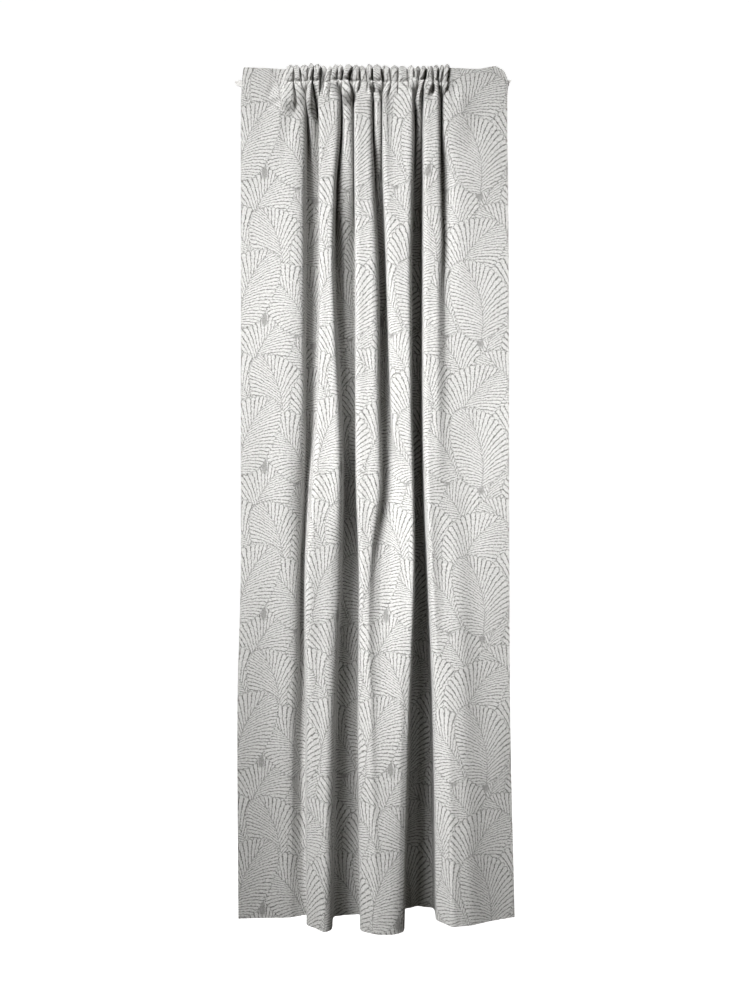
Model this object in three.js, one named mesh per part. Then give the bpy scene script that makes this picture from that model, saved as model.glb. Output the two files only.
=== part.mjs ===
/**
 * A lined curtain with a gathered heading, hanging in its own folds.
 *
 * The frame: millimetres, +Z up, the front of the curtain faces -Y and +X is to the viewer's right.
 * The origin is the middle of the heading's top edge, so the curtain hangs down to about z = -DROP.
 *
 * The cloth is one sheet. At each level down the drop its section is a smooth curve through the fold
 * lines, and every section holds the same length of cloth, because cloth doesn't stretch. Near the top
 * the folds give way to the small pleats of the gathered heading, and a tape is sewn behind those.
 */
import * as THREE from "three";

// ---------------------------------------------------------------- driving dimensions

const DROP = 2500; // top of the ruffle to the hem
const FLAT_WIDTH = 1400; // the cloth from side to side, laid out flat
const CLOTH_THICKNESS = 2; // face cloth, lining and what lies between them

const RUFFLE_DROP = 44; // cloth standing above the gather line
const TAPE_TOP_DROP = 41;
const TAPE_BOTTOM_DROP = 61;
const TAPE_THICKNESS = 1;
const SEWN_GAP = 0.5; // clearance between the cloth's back and the tape

const FLAT_LEFT = 117; // ungathered cloth at each end of the heading
const FLAT_RIGHT = 179;
const HEADING_LEFT = -388; // where the heading starts, across the width
const FLAT_LEFT_COLUMNS = 5;
const FLAT_RIGHT_COLUMNS = 7;
const COLUMNS_PER_PLEAT = 4;

const PLEATS_FADE_FROM = 62; // drop at which the small pleats start to fade
const PLEATS_FADE_TO = 235; // drop at which they are gone
const FOLDS_GROW_FROM = 50; // drop at which the main folds start to grow
const FOLDS_GROW_TO = 210; // drop at which they have their full depth
const RUFFLE_FLARE = 0.12; // extra pleat depth at the ruffle's free edge

// The small pleats of the heading, from left to right: each one's width along the heading, and how far
// its scallop stays below the top of the highest one.
const PLEATS = [
  { width: 32, dip: 9 },
  { width: 29, dip: 6 },
  { width: 26, dip: 0 },
  { width: 24, dip: 5 },
  { width: 18, dip: 8 },
  { width: 17, dip: 7 },
  { width: 24, dip: 4 },
  { width: 29, dip: 8 },
  { width: 25, dip: 3 },
  { width: 28, dip: 5 },
  { width: 16, dip: 9 },
  { width: 22, dip: 6 },
  { width: 26, dip: 3 },
  { width: 21, dip: 7 },
  { width: 26, dip: 5 },
  { width: 25, dip: 4 },
  { width: 22, dip: 8 },
  { width: 29, dip: 5 },
  { width: 21, dip: 6 },
  { width: 21, dip: 4 },
];
const SCALLOP_CUT = 9; // how much lower the ruffle's edge is between two scallops
const FLAT_DIP = 7; // the ungathered ends' top edge, below the highest scallop

// The main folds. Each row is a line that runs down the cloth, on the crest or shoulder of a fold or in
// the bottom of a valley: how far across the width it is, and how far behind the heading's plane
// (negative is in front of it), at each of these levels down the drop.
const LEVELS = [95, 200, 350, 600, 1000, 1250, 1500, 1900, 2500];
const FOLD_LINES = [
  {
    name: "left side",
    across: [-394, -394, -394, -394, -394, -394, -394, -403, -400],
    behind: [0, 0, 0, 0, 0, 0, -3, -8, -11],
  },
  {
    name: "left panel, inner shoulder",
    across: [-221, -222, -224, -232, -246, -252, -250, -246, -250],
    behind: [-6, -9, -12, -14, -12, -6, -4, 0, -2],
  },
  {
    name: "first valley",
    across: [-200, -201, -204, -205, -206, -208, -222, -222, -212],
    behind: [60, 68, 74, 76, 76, 64, 48, 36, 14],
  },
  {
    name: "first valley, ridge",
    across: [-191, -185, -186, -184, -188, -199, -212, -209, -202],
    behind: [-4, 38, 72, 78, 70, 54, 44, 34, 16],
  },
  {
    name: "first valley, right",
    across: [-171, -166, -167, -168, -173, -190, -203, -202, -199],
    behind: [32, 62, 72, 74, 50, 22, 16, 10, 0],
  },
  {
    name: "first fold, left shoulder",
    across: [-158, -158, -158, -157, -161, -177, -194, -190, -195],
    behind: [-22, -28, -33, -36, -40, -44, -52, -55, -55],
  },
  {
    name: "first fold, right shoulder",
    across: [-109, -112, -122, -127, -113, -106, -122, -134, -144],
    behind: [-26, -32, -38, -42, -48, -50, -48, -67, -102],
  },
  {
    name: "second valley, left",
    across: [-97, -99, -112, -117, -97, -90, -97, -112, -120],
    behind: [58, 64, 64, 70, 84, 80, 56, 38, 2],
  },
  {
    name: "second valley, ridge",
    across: [-76, -80, -90, -90, -79, -72, -72, -78, -84],
    behind: [-22, -12, 8, 54, 86, 70, 54, 36, 16],
  },
  {
    name: "second valley, right",
    across: [-63, -63, -62, -61, -60, -59, -51, -54, -46],
    behind: [26, 40, 60, 84, 92, 74, 54, 40, 20],
  },
  {
    name: "second fold, left shoulder",
    across: [-55, -55, -54, -53, -52, -47, -37, -41, -26],
    behind: [-28, -38, -46, -50, -50, -50, -55, -70, -105],
  },
  {
    name: "second fold, right shoulder",
    across: [-17, -16, -13, -3, 2, 7, -18, -13, 7],
    behind: [-28, -36, -46, -54, -55, -53, -56, -86, -120],
  },
  {
    name: "third valley, left",
    across: [-5, -5, 1, 13, 18, 22, -1, 4, 20],
    behind: [28, 38, 54, 58, 50, -10, -42, -80, -121],
  },
  {
    name: "third valley, ridge",
    across: [13, 12, 9, 20, 28, 36, 15, 20, 32],
    behind: [-24, -12, 40, 62, 50, -8, -36, -79, -122],
  },
  {
    name: "third valley, right",
    across: [20, 20, 21, 30, 44, 56, 41, 38, 44],
    behind: [24, 34, 50, 54, 26, -14, -36, -80, -121],
  },
  {
    name: "third fold, left shoulder",
    across: [28, 28, 31, 45, 66, 82, 68, 56, 56],
    behind: [-26, -36, -45, -50, -46, -30, -42, -82, -118],
  },
  {
    name: "third fold, dent",
    across: [47, 49, 53, 64, 80, 93, 84, 75, 67],
    behind: [-16, -28, -42, -54, -50, -34, -44, -84, -112],
  },
  {
    name: "third fold, right shoulder",
    across: [107, 106, 102, 97, 101, 107, 109, 94, 78],
    behind: [-32, -40, -48, -52, -54, -42, -50, -78, -102],
  },
  {
    name: "deep valley, left",
    across: [118, 119, 116, 112, 113, 118, 120, 107, 88],
    behind: [64, 80, 92, 96, 94, 92, 78, 60, 58],
  },
  {
    name: "deep valley, ridge",
    across: [131, 130, 126, 123, 125, 128, 132, 130, 128],
    behind: [-10, 20, 92, 102, 100, 98, 86, 78, 80],
  },
  {
    name: "deep valley, right",
    across: [140, 139, 138, 137, 137, 141, 151, 166, 174],
    behind: [18, 44, 94, 100, 94, 90, 78, 72, 64],
  },
  {
    name: "fourth fold, left shoulder",
    across: [149, 148, 148, 148, 148, 154, 165, 185, 188],
    behind: [-26, -30, -34, -36, -38, -42, -44, -38, -32],
  },
  {
    name: "fourth fold, right shoulder",
    across: [182, 182, 182, 182, 183, 187, 194, 208, 222],
    behind: [-28, -33, -36, -38, -38, -36, -36, -46, -68],
  },
  {
    name: "last valley",
    across: [195, 195, 197, 204, 214, 222, 236, 252, 275],
    behind: [46, 42, 24, -4, -18, -26, -34, -44, -58],
  },
  {
    name: "right panel, inner shoulder",
    across: [215, 220, 232, 246, 258, 270, 284, 305, 338],
    behind: [-6, -8, -10, -11, -12, -14, -19, -26, -30],
  },
  {
    name: "right side",
    across: [389, 389, 391, 393, 394, 394, 395, 397, 410],
    behind: [0, 0, 0, 0, 0, 0, 0, 0, 0],
  },
];

// Levels of the rows of facets: close together in the heading, then even steps down the folds.
const HEADING_ROWS = [0, 22, TAPE_TOP_DROP, TAPE_BOTTOM_DROP, 85, 115, 150, 195, 250, 320, 400];
const ROWS_BELOW = 14;

// The ends of the tape, past the cloth's side edges: how far out, and the drops of its top and bottom.
const LEFT_EAR = [
  { out: 14, top: 41, bottom: 57 },
  { out: 21, top: 43, bottom: 51 },
];
const RIGHT_EAR = [
  { out: 6, top: 41, bottom: 50 },
  { out: 10, top: 41, bottom: 43 },
];

// ---------------------------------------------------------------- curves

const pleatedWidth = PLEATS.reduce((sum, pleat) => sum + pleat.width, 0);
const pleatedCloth = FLAT_WIDTH - FLAT_LEFT - FLAT_RIGHT;
const GATHER_RATIO = pleatedCloth / pleatedWidth;

/** 0 below `from`, 1 above `to`, and a smooth step between them. */
const smoothStep = (value, from, to) => THREE.MathUtils.smoothstep(value, from, to);

/** The value at a drop of a smooth track that has one value for each of LEVELS. */
function valueAt(track, drop) {
  const last = LEVELS.length - 1;
  const inside = THREE.MathUtils.clamp(drop, LEVELS[0], LEVELS[last]);
  let i = 0;
  while (i < last - 1 && inside > LEVELS[i + 1]) i += 1;
  const slope = (k) => {
    const before = Math.max(k - 1, 0);
    const after = Math.min(k + 1, last);
    return (track[after] - track[before]) / (LEVELS[after] - LEVELS[before]);
  };
  const span = LEVELS[i + 1] - LEVELS[i];
  const t = (inside - LEVELS[i]) / span;
  const rise = track[i + 1] - track[i];
  const a = slope(i) * span - rise;
  const b = rise - slope(i + 1) * span;
  return track[i] + t * rise + t * (1 - t) * ((1 - t) * a + t * b);
}

/** The curve through the fold lines at one drop, with their depths multiplied by `depthScale`. */
function foldCurve(drop, depthScale) {
  const points = FOLD_LINES.map(
    (line) =>
      new THREE.Vector3(valueAt(line.across, drop), depthScale * valueAt(line.behind, drop), 0),
  );
  const curve = new THREE.CatmullRomCurve3(points, false, "centripetal");
  curve.arcLengthDivisions = 600;
  return curve;
}

/** The fold curve at one drop whose length is exactly the cloth's flat width. */
function foldSection(drop) {
  let shallow = 0.3;
  let deep = 2.5;
  for (let step = 0; step < 24; step += 1) {
    const middle = (shallow + deep) / 2;
    if (foldCurve(drop, middle).getLength() < FLAT_WIDTH) shallow = middle;
    else deep = middle;
  }
  return foldCurve(drop, (shallow + deep) / 2);
}

/** The cloth's columns: each one's place on the flat cloth, and where it stands in the heading. */
function makeColumns() {
  const columns = [];
  for (let i = 0; i < FLAT_LEFT_COLUMNS; i += 1) {
    const cloth = (FLAT_LEFT * i) / FLAT_LEFT_COLUMNS;
    columns.push({ cloth, across: HEADING_LEFT + cloth, behind: 0, dip: FLAT_DIP });
  }
  let across = HEADING_LEFT + FLAT_LEFT;
  let cloth = FLAT_LEFT;
  for (const pleat of PLEATS) {
    const clothLength = pleat.width * GATHER_RATIO;
    // Half of the columns are on a flank: the rest of the cloth is the pleat's front and back.
    const level = pleat.width / COLUMNS_PER_PLEAT;
    const flank = clothLength / 2 - level;
    const halfDepth = Math.sqrt(flank ** 2 - level ** 2) / 2;
    for (let i = 0; i < COLUMNS_PER_PLEAT; i += 1) {
      const share = (i + 0.5) / COLUMNS_PER_PLEAT;
      const isFront = i === 1 || i === 2;
      columns.push({
        cloth: cloth + share * clothLength,
        across: across + share * pleat.width,
        behind: isFront ? -halfDepth : halfDepth,
        dip: pleat.dip + (isFront ? 0 : SCALLOP_CUT),
      });
    }
    across += pleat.width;
    cloth += clothLength;
  }
  for (let i = 1; i <= FLAT_RIGHT_COLUMNS; i += 1) {
    const along = (FLAT_RIGHT * i) / FLAT_RIGHT_COLUMNS;
    columns.push({ cloth: cloth + along, across: across + along, behind: 0, dip: FLAT_DIP });
  }
  return columns;
}

const COLUMNS = makeColumns();

/** The middle of the cloth along one level: a point for each column. */
function clothRow(drop) {
  const section = foldSection(drop);
  const foldShare = smoothStep(drop, FOLDS_GROW_FROM, FOLDS_GROW_TO);
  const pleatShare = Math.sqrt(1 - smoothStep(drop, PLEATS_FADE_FROM, PLEATS_FADE_TO));
  const ruffle = Math.max(0, 1 - drop / RUFFLE_DROP);
  return COLUMNS.map((column) => {
    const fold = section.getPointAt(Math.min(1, column.cloth / FLAT_WIDTH));
    const flare = 1 + RUFFLE_FLARE * ruffle;
    return new THREE.Vector3(
      THREE.MathUtils.lerp(column.across, fold.x, foldShare),
      column.behind * pleatShare * flare + fold.y * Math.sqrt(foldShare),
      -drop - column.dip * ruffle,
    );
  });
}

// ---------------------------------------------------------------- meshes

/** The level direction that leaves the back of a row of points at right angles, at each point. */
function backDirections(row) {
  const segments = row
    .slice(1)
    .map((point, i) => new THREE.Vector2(point.x - row[i].x, point.y - row[i].y).normalize());
  return row.map((_, i) => {
    const before = segments[Math.max(i - 1, 0)];
    const after = segments[Math.min(i, segments.length - 1)];
    const along = before.clone().add(after).normalize();
    const lengthening = 1 / Math.max(0.6, along.dot(after));
    return new THREE.Vector3(-along.y, along.x, 0).multiplyScalar(lengthening);
  });
}

/** The rows moved towards the back of the cloth by `distance`. */
function offsetRows(rows, distance) {
  return rows.map((row) => {
    const back = backDirections(row);
    return row.map((point, i) => point.clone().addScaledVector(back[i], distance));
  });
}

/** A closed sheet between a front and a back grid of points, which have the same rows and columns. */
function sheetGeometry(front, back) {
  const rowCount = front.length;
  const columnCount = front[0].length;
  const layerSize = rowCount * columnCount;
  const positions = [...front.flat(), ...back.flat()].flatMap((point) => point.toArray());
  const at = (layer, row, column) => layer * layerSize + row * columnCount + column;
  const indices = [];
  const quad = (a, b, c, d) => indices.push(a, b, c, a, c, d);
  for (let r = 0; r < rowCount - 1; r += 1) {
    for (let c = 0; c < columnCount - 1; c += 1) {
      quad(at(0, r, c), at(0, r + 1, c), at(0, r + 1, c + 1), at(0, r, c + 1));
      // The back's facets are split along the same diagonal, so the sheet keeps its thickness.
      const upperRight = at(1, r, c + 1);
      const lowerRight = at(1, r + 1, c + 1);
      indices.push(at(1, r, c), lowerRight, at(1, r + 1, c));
      indices.push(at(1, r, c), upperRight, lowerRight);
    }
    const end = columnCount - 1;
    quad(at(1, r, 0), at(1, r + 1, 0), at(0, r + 1, 0), at(0, r, 0));
    quad(at(0, r, end), at(0, r + 1, end), at(1, r + 1, end), at(1, r, end));
  }
  const bottom = rowCount - 1;
  for (let c = 0; c < columnCount - 1; c += 1) {
    quad(at(1, 0, c), at(0, 0, c), at(0, 0, c + 1), at(1, 0, c + 1));
    quad(at(0, bottom, c), at(1, bottom, c), at(1, bottom, c + 1), at(0, bottom, c + 1));
  }
  const geometry = new THREE.BufferGeometry();
  geometry.setAttribute("position", new THREE.Float32BufferAttribute(positions, 3));
  geometry.setIndex(indices);
  geometry.computeVertexNormals();
  return geometry;
}

function curtainCloth() {
  const lastHeadingRow = HEADING_ROWS[HEADING_ROWS.length - 1];
  const step = (DROP - lastHeadingRow) / ROWS_BELOW;
  const drops = [...HEADING_ROWS];
  for (let i = 1; i <= ROWS_BELOW; i += 1) drops.push(lastHeadingRow + i * step);
  const rows = drops.map(clothRow);
  const half = CLOTH_THICKNESS / 2;
  return sheetGeometry(offsetRows(rows, -half), offsetRows(rows, half));
}

/** Adds the tape's two free ends to a row that runs along its top (or its bottom) edge. */
function withEars(row, edge) {
  const first = row[0];
  const last = row[row.length - 1];
  const leftEar = LEFT_EAR.map((part) => new THREE.Vector3(first.x - part.out, first.y, -part[edge]));
  const rightEar = RIGHT_EAR.map((part) => new THREE.Vector3(last.x + part.out, last.y, -part[edge]));
  return [...leftEar.reverse(), ...row, ...rightEar];
}

function headingTape() {
  const clothRows = [clothRow(TAPE_TOP_DROP), clothRow(TAPE_BOTTOM_DROP)];
  clothRows[0].forEach((point) => point.setZ(-TAPE_TOP_DROP));
  const frontDistance = CLOTH_THICKNESS / 2 + SEWN_GAP;
  const grid = (distance) => {
    const [top, bottom] = offsetRows(clothRows, distance);
    return [withEars(top, "top"), withEars(bottom, "bottom")];
  };
  return sheetGeometry(grid(frontDistance), grid(frontDistance + TAPE_THICKNESS));
}

// ---------------------------------------------------------------- the curtain

const MATERIALS = {
  leafCloth: { color: 0xd6d5d0, roughness: 0.85, metalness: 0 },
  tape: { color: 0xc9c8c3, roughness: 0.9, metalness: 0 },
};

function named(name, geometry, material) {
  const mesh = new THREE.Mesh(geometry, new THREE.MeshStandardMaterial(material));
  mesh.name = name;
  return mesh;
}

const curtain = new THREE.Group();
curtain.name = "lined_curtain";
curtain.add(named("curtain_cloth", curtainCloth(), MATERIALS.leafCloth));
curtain.add(named("heading_tape", headingTape(), MATERIALS.tape));

export default curtain;
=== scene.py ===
"""Builds the looks of a gathered leaf-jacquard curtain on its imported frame.

Everything is in metres in the frame's own axes: +Z up, the front faces -Y, and the origin is the
middle of the heading's top edge. The shape of the cloth is worked out in millimetres. "Cloth" is a
place on the flat cloth, from its left edge, and "drop" is how far something is below the heading's
top edge.
"""
import math
from typing import NamedTuple

import bpy
import numpy as np
from bpy.props import FloatProperty, FloatVectorProperty, PointerProperty
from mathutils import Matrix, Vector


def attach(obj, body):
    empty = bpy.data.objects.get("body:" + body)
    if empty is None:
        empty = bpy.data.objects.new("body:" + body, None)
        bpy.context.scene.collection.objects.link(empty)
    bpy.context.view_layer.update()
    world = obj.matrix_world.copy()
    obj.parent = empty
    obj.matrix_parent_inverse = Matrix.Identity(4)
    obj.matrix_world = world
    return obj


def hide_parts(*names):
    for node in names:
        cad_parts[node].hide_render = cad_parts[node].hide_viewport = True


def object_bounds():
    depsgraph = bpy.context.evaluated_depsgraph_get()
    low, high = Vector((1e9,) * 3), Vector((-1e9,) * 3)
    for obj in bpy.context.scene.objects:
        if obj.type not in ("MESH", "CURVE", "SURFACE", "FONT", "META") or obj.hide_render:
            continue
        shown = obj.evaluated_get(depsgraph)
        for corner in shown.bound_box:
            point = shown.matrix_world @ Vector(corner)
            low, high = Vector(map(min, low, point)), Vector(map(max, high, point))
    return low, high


bl_info = {
    "name": "Gathered Leaf Curtain",
    "version": (1, 0, 0),
    "blender": (4, 5, 0),
    "location": "View3D > Sidebar > Curtain",
    "description": "Makes a lined leaf-jacquard curtain with a gathered heading, and its studio",
    "category": "Object",
}

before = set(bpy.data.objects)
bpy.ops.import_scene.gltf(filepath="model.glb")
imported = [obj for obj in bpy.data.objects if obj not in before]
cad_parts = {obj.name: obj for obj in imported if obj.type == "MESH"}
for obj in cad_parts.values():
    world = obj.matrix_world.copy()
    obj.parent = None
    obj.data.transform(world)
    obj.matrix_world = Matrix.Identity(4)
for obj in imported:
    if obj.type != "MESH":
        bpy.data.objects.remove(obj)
CAD_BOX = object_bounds()
MM = 0.001

# ---------------------------------------------------------------- the cloth's sizes, in millimetres

DROP = -CAD_BOX[0].z / MM
FLAT_WIDTH = 1400.0
GATHER_DROP = 44.0  # where the heading is drawn up
TAPE_TOP_DROP = 41.0
TAPE_BOTTOM_DROP = 61.0
TAPE_ROWS = 11
SEWN_GAP = 0.3  # between the cloth's back and the tape


class PleatLine(NamedTuple):
    """The valley between two pleats of the heading, or an end of the ungathered cloth."""

    cloth: float  # place on the flat cloth
    across: float  # place along the gather line
    lean: float  # how far its ruffle stands to the right of that
    dip: float  # how far the ruffle's edge is below the heading's top
    fades: float  # the drop at which the pleat to its right is gone
    split: float = 0.0  # where that pleat's ruffle is pinched in two, as a share of its cloth


PLEAT_LINES = (
    PleatLine(0, -391, 5, 4, 130),
    PleatLine(64, -325, 3, 6, 130),
    PleatLine(117, -266, 8, 10, 150),
    PleatLine(163, -238, 0, 8, 124),
    PleatLine(203, -216, -5, 11, 112),
    PleatLine(238, -197, 3, 5, 150),
    PleatLine(300, -182, 4, 12, 130),
    PleatLine(350, -161, 2, 6, 110),
    PleatLine(363, -150, 10, 12, 114),
    PleatLine(383, -131, 8, 13, 104),
    PleatLine(440, -111, 3, 11, 120),
    PleatLine(500, -96, 2, 13, 130),
    PleatLine(566, -76, 14, 10, 112),
    PleatLine(620, -44, -6, 9, 102),
    PleatLine(650, -22, -7, 11, 112),
    PleatLine(740, -8, 4, 11, 120),
    PleatLine(800, 22, -7, 10, 112),
    PleatLine(832, 48, -4, 10, 108),
    PleatLine(863, 68, 2, 9, 106),
    PleatLine(893, 99, -6, 12, 118, 0.55),
    PleatLine(963, 127, 8, 15, 150),
    PleatLine(1046, 144, 6, 16, 108, 0.50),
    PleatLine(1108, 171, -2, 12, 104),
    PleatLine(1150, 184, 3, 9, 114),
    PleatLine(1178, 196, 8, 8, 108),
    PleatLine(1212, 214, 4, 5, 140),
    PleatLine(1310, 302, 2, 9, 140),
    PleatLine(1368, 359, -6, 0, 140),
    PleatLine(1400, 391, -14, 12, 140),
)
PLEAT_MARKS = [line.cloth for line in PLEAT_LINES]
GATHERED = (2, len(PLEAT_LINES) - 4)  # the rows between which the heading is drawn up


class HeadingLevel(NamedTuple):
    """How the pleats stand at one drop."""

    drop: float
    full: float  # their depth, as a share of what their cloth allows
    gap: float  # between the fronts of two pleats


HEADING_LEVELS = (
    HeadingLevel(0, 1.00, 1.5),
    HeadingLevel(9, 1.40, 2.5),
    HeadingLevel(22, 1.60, 6.5),
    HeadingLevel(36, 1.45, 6.5),
    HeadingLevel(39, 1.05, 6.0),
    HeadingLevel(44, 1.05, 5.0),
    HeadingLevel(52, 1.70, 3.4),
    HeadingLevel(80, 1.60, 3.4),
    HeadingLevel(DROP, 1.30, 3.5),
)
RUFFLE_SWELL = 0.55  # how much of its pleat's depth a pinched ruffle still has
RUFFLE_FROM, RUFFLE_TO = 36.0, 41.0  # the drops between which the ruffle turns into pleats
SCALLOP_CUT = 9.0  # how much the ruffle's edge rises from a valley to the top of its scallop
SHALLOWEST_PLEAT, DEEPEST_PLEAT = 6.0, 19.0
RUFFLE_SAG = (9.0, 3.0)  # how far its underside hangs at a pleat's middle, and how far that varies
SAG_PITCH = 48.0  # how far along the cloth one such change takes
SAG_SEED = 8
PLEAT_ROUNDING = 3.0  # how far round its corners a pleat's cloth bends
WIDEST_GAP = 0.6  # the most of a pleat's width that the gap beside it may take
PLEAT_FADE = 48.0  # the drop over which a pleat dies away

# How steep a flank is: not at all below the first of these depths, and of these depths for its
# width, and wholly above the second. The edge of a steep one stands EDGE_CLEAR from the valley's
# line, and EDGE_BEHIND of the way back.
STEEP_DEPTH = (15.0, 45.0)
STEEP_FOLD = (1.0, 2.2)
EDGE_CLEAR = 6.5
EDGE_BEHIND = 0.12
FOLD_DEPTHS = (0.2, 2.5)  # how far a section's depth may be scaled, to hold the whole cloth

# The mesh's columns in each part of the cloth, and its rows below each of these drops.
COLUMN_COUNTS = (20, 440, 24)
ROW_DROPS = (0.0, 24.0, 60.0, 120.0, 400.0)
ROW_COUNTS = (8, 20, 14, 28, 76)
HEADING_ROWS = sum(ROW_COUNTS[:3])

# The drops between which the main folds grow out of the pleats, and the small waves set in.
FOLDS_GROW_FROM, FOLDS_GROW_TO = 47.0, 104.0
WAVES_GROW_FROM, WAVES_GROW_TO = 60.0, 260.0

# The unevenness of the hanging cloth: wide swellings and small ones, by their width and height.
WIDE_WAVE, WIDE_SHARE, WIDE_SEED = (95.0, 260.0), 0.7, 3
SMALL_WAVE, SMALL_SHARE, SMALL_SEED = (38.0, 90.0), 0.3, 5
SMALL_SLANT = 160.0  # the drop over which the small ones shift sideways by their own width

# The main folds. Each row is a line that runs down the cloth, on a fold's shoulder or in a valley:
# how far across it is and how far behind the heading's plane, at each of these drops.
LEVELS = (95, 200, 350, 600, 1000, 1250, 1500, 1900, 2500)


class FoldLine(NamedTuple):
    """A line down the cloth, by its place at each of LEVELS."""

    name: str
    across: tuple
    behind: tuple


FOLD_LINES = (
    FoldLine(
        "left side",
        (-394, -394, -394, -394, -394, -394, -394, -403, -400),
        (0, 0, 0, 0, 0, 0, -3, -8, -11),
    ),
    FoldLine(
        "left panel, inner shoulder",
        (-221, -222, -224, -232, -246, -252, -250, -246, -250),
        (-6, -9, -12, -14, -12, -6, -4, 0, -2),
    ),
    FoldLine(
        "first valley",
        (-200, -201, -204, -205, -206, -208, -222, -222, -212),
        (60, 68, 74, 76, 76, 64, 48, 36, 14),
    ),
    FoldLine(
        "first valley, ridge",
        (-191, -185, -186, -184, -188, -199, -212, -209, -202),
        (-4, 38, 72, 78, 70, 54, 44, 34, 16),
    ),
    FoldLine(
        "first valley, right",
        (-171, -166, -167, -168, -173, -190, -203, -202, -199),
        (32, 62, 72, 74, 50, 22, 16, 10, 0),
    ),
    FoldLine(
        "first fold, left shoulder",
        (-158, -158, -158, -157, -161, -177, -194, -190, -195),
        (-22, -28, -33, -36, -40, -44, -52, -55, -55),
    ),
    FoldLine(
        "first fold, right shoulder",
        (-109, -112, -122, -127, -113, -106, -122, -134, -144),
        (-26, -32, -38, -42, -48, -50, -48, -67, -102),
    ),
    FoldLine(
        "second valley, left",
        (-97, -99, -112, -117, -97, -90, -97, -112, -120),
        (58, 64, 64, 70, 84, 80, 56, 38, 2),
    ),
    FoldLine(
        "second valley, ridge",
        (-76, -80, -90, -90, -79, -72, -72, -78, -84),
        (-22, -12, 8, 54, 86, 70, 54, 36, 16),
    ),
    FoldLine(
        "second valley, right",
        (-63, -63, -62, -61, -60, -59, -51, -54, -46),
        (26, 40, 60, 84, 92, 74, 54, 40, 20),
    ),
    FoldLine(
        "second fold, left shoulder",
        (-55, -55, -54, -53, -52, -47, -37, -41, -26),
        (-28, -38, -46, -50, -50, -50, -55, -70, -105),
    ),
    FoldLine(
        "second fold, right shoulder",
        (-17, -16, -13, -3, 2, 7, -18, -13, 7),
        (-28, -36, -46, -54, -55, -53, -56, -86, -120),
    ),
    FoldLine(
        "third valley, left",
        (-5, -5, 1, 13, 18, 22, -1, 4, 20),
        (28, 38, 54, 58, 50, -10, -42, -80, -121),
    ),
    FoldLine(
        "third valley, ridge",
        (13, 12, 9, 20, 28, 36, 15, 20, 32),
        (-24, -12, 40, 62, 50, -8, -36, -79, -122),
    ),
    FoldLine(
        "third valley, right",
        (20, 20, 21, 30, 44, 56, 41, 38, 44),
        (24, 34, 50, 54, 26, -14, -36, -80, -121),
    ),
    FoldLine(
        "third fold, left shoulder",
        (28, 28, 31, 45, 66, 82, 68, 56, 56),
        (-26, -36, -45, -50, -46, -30, -42, -82, -118),
    ),
    FoldLine(
        "third fold, dent",
        (47, 49, 53, 64, 80, 93, 84, 75, 67),
        (-16, -28, -42, -54, -50, -34, -44, -84, -112),
    ),
    FoldLine(
        "third fold, right shoulder",
        (107, 106, 102, 97, 101, 107, 109, 94, 78),
        (-32, -40, -48, -52, -54, -42, -50, -78, -102),
    ),
    FoldLine(
        "deep valley, left",
        (118, 119, 116, 112, 113, 118, 120, 107, 88),
        (64, 80, 92, 96, 94, 92, 78, 60, 58),
    ),
    FoldLine(
        "deep valley, ridge",
        (131, 130, 126, 123, 125, 128, 132, 130, 128),
        (-10, 20, 92, 102, 100, 98, 86, 78, 80),
    ),
    FoldLine(
        "deep valley, right",
        (140, 139, 138, 137, 137, 141, 151, 166, 174),
        (18, 44, 94, 100, 94, 90, 78, 72, 64),
    ),
    FoldLine(
        "fourth fold, left shoulder",
        (149, 148, 148, 148, 148, 154, 165, 185, 188),
        (-26, -30, -34, -36, -38, -42, -44, -38, -32),
    ),
    FoldLine(
        "fourth fold, right shoulder",
        (182, 182, 182, 182, 183, 187, 194, 208, 222),
        (-28, -33, -36, -38, -38, -36, -36, -46, -68),
    ),
    FoldLine(
        "last valley",
        (195, 195, 197, 204, 214, 222, 236, 252, 275),
        (46, 42, 24, -4, -18, -26, -34, -44, -58),
    ),
    FoldLine(
        "right panel, inner shoulder",
        (215, 220, 232, 246, 258, 270, 284, 305, 338),
        (-6, -8, -10, -11, -12, -14, -19, -26, -30),
    ),
    FoldLine(
        "right side",
        (389, 389, 391, 393, 394, 394, 395, 397, 410),
        (0, 0, 0, 0, 0, 0, 0, 0, 0),
    ),
)


class Crease(NamedTuple):
    """A soft trough in the cloth, or a ridge where deep is negative."""

    cloth: float
    drop: float
    turn: float  # degrees from upright, leaning right
    long: float
    wide: float
    deep: float


CREASES = (
    Crease(84, 75, 8, 60, 9, 4),
    Crease(100, 108, 70, 30, 10, 5),
    Crease(112, 92, -6, 60, 8, -4),
    Crease(60, 150, -20, 120, 22, 3),
    Crease(140, 190, 12, 160, 20, 4),
    Crease(1240, 84, -8, 60, 10, 5),
    Crease(1262, 100, -14, 80, 14, -4),
    Crease(1300, 200, 18, 220, 30, 3),
    Crease(70, 2121, 88, 110, 7, 3),
    Crease(1290, 2121, 91, 130, 7, 3),
)


class Ear(NamedTuple):
    """A point of the tape's end: how far past the cloth's side, and its top and bottom drops."""

    out: float
    top: float
    bottom: float


LEFT_EAR = (Ear(7, 41, 60), Ear(14, 42, 57), Ear(21, 43.5, 50))
RIGHT_EAR = (Ear(4, 40.5, 56), Ear(7, 40, 48), Ear(11, 40, 42.5))

# ---------------------------------------------------------------- the leaf repeat, in millimetres

REPEAT = (350.0, 432.0)
GROUND_TONE = 0.42  # of the bare ground, between the line colour at 0 and the leaf colour at 1
LEAF_LONG = 204.0


class Leaf(NamedTuple):
    """A palm leaf of the repeat. Later leaves lie over earlier ones."""

    across: float
    up: float
    turn: float  # degrees, leaning right
    half: float  # half its width
    bend: float


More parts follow.
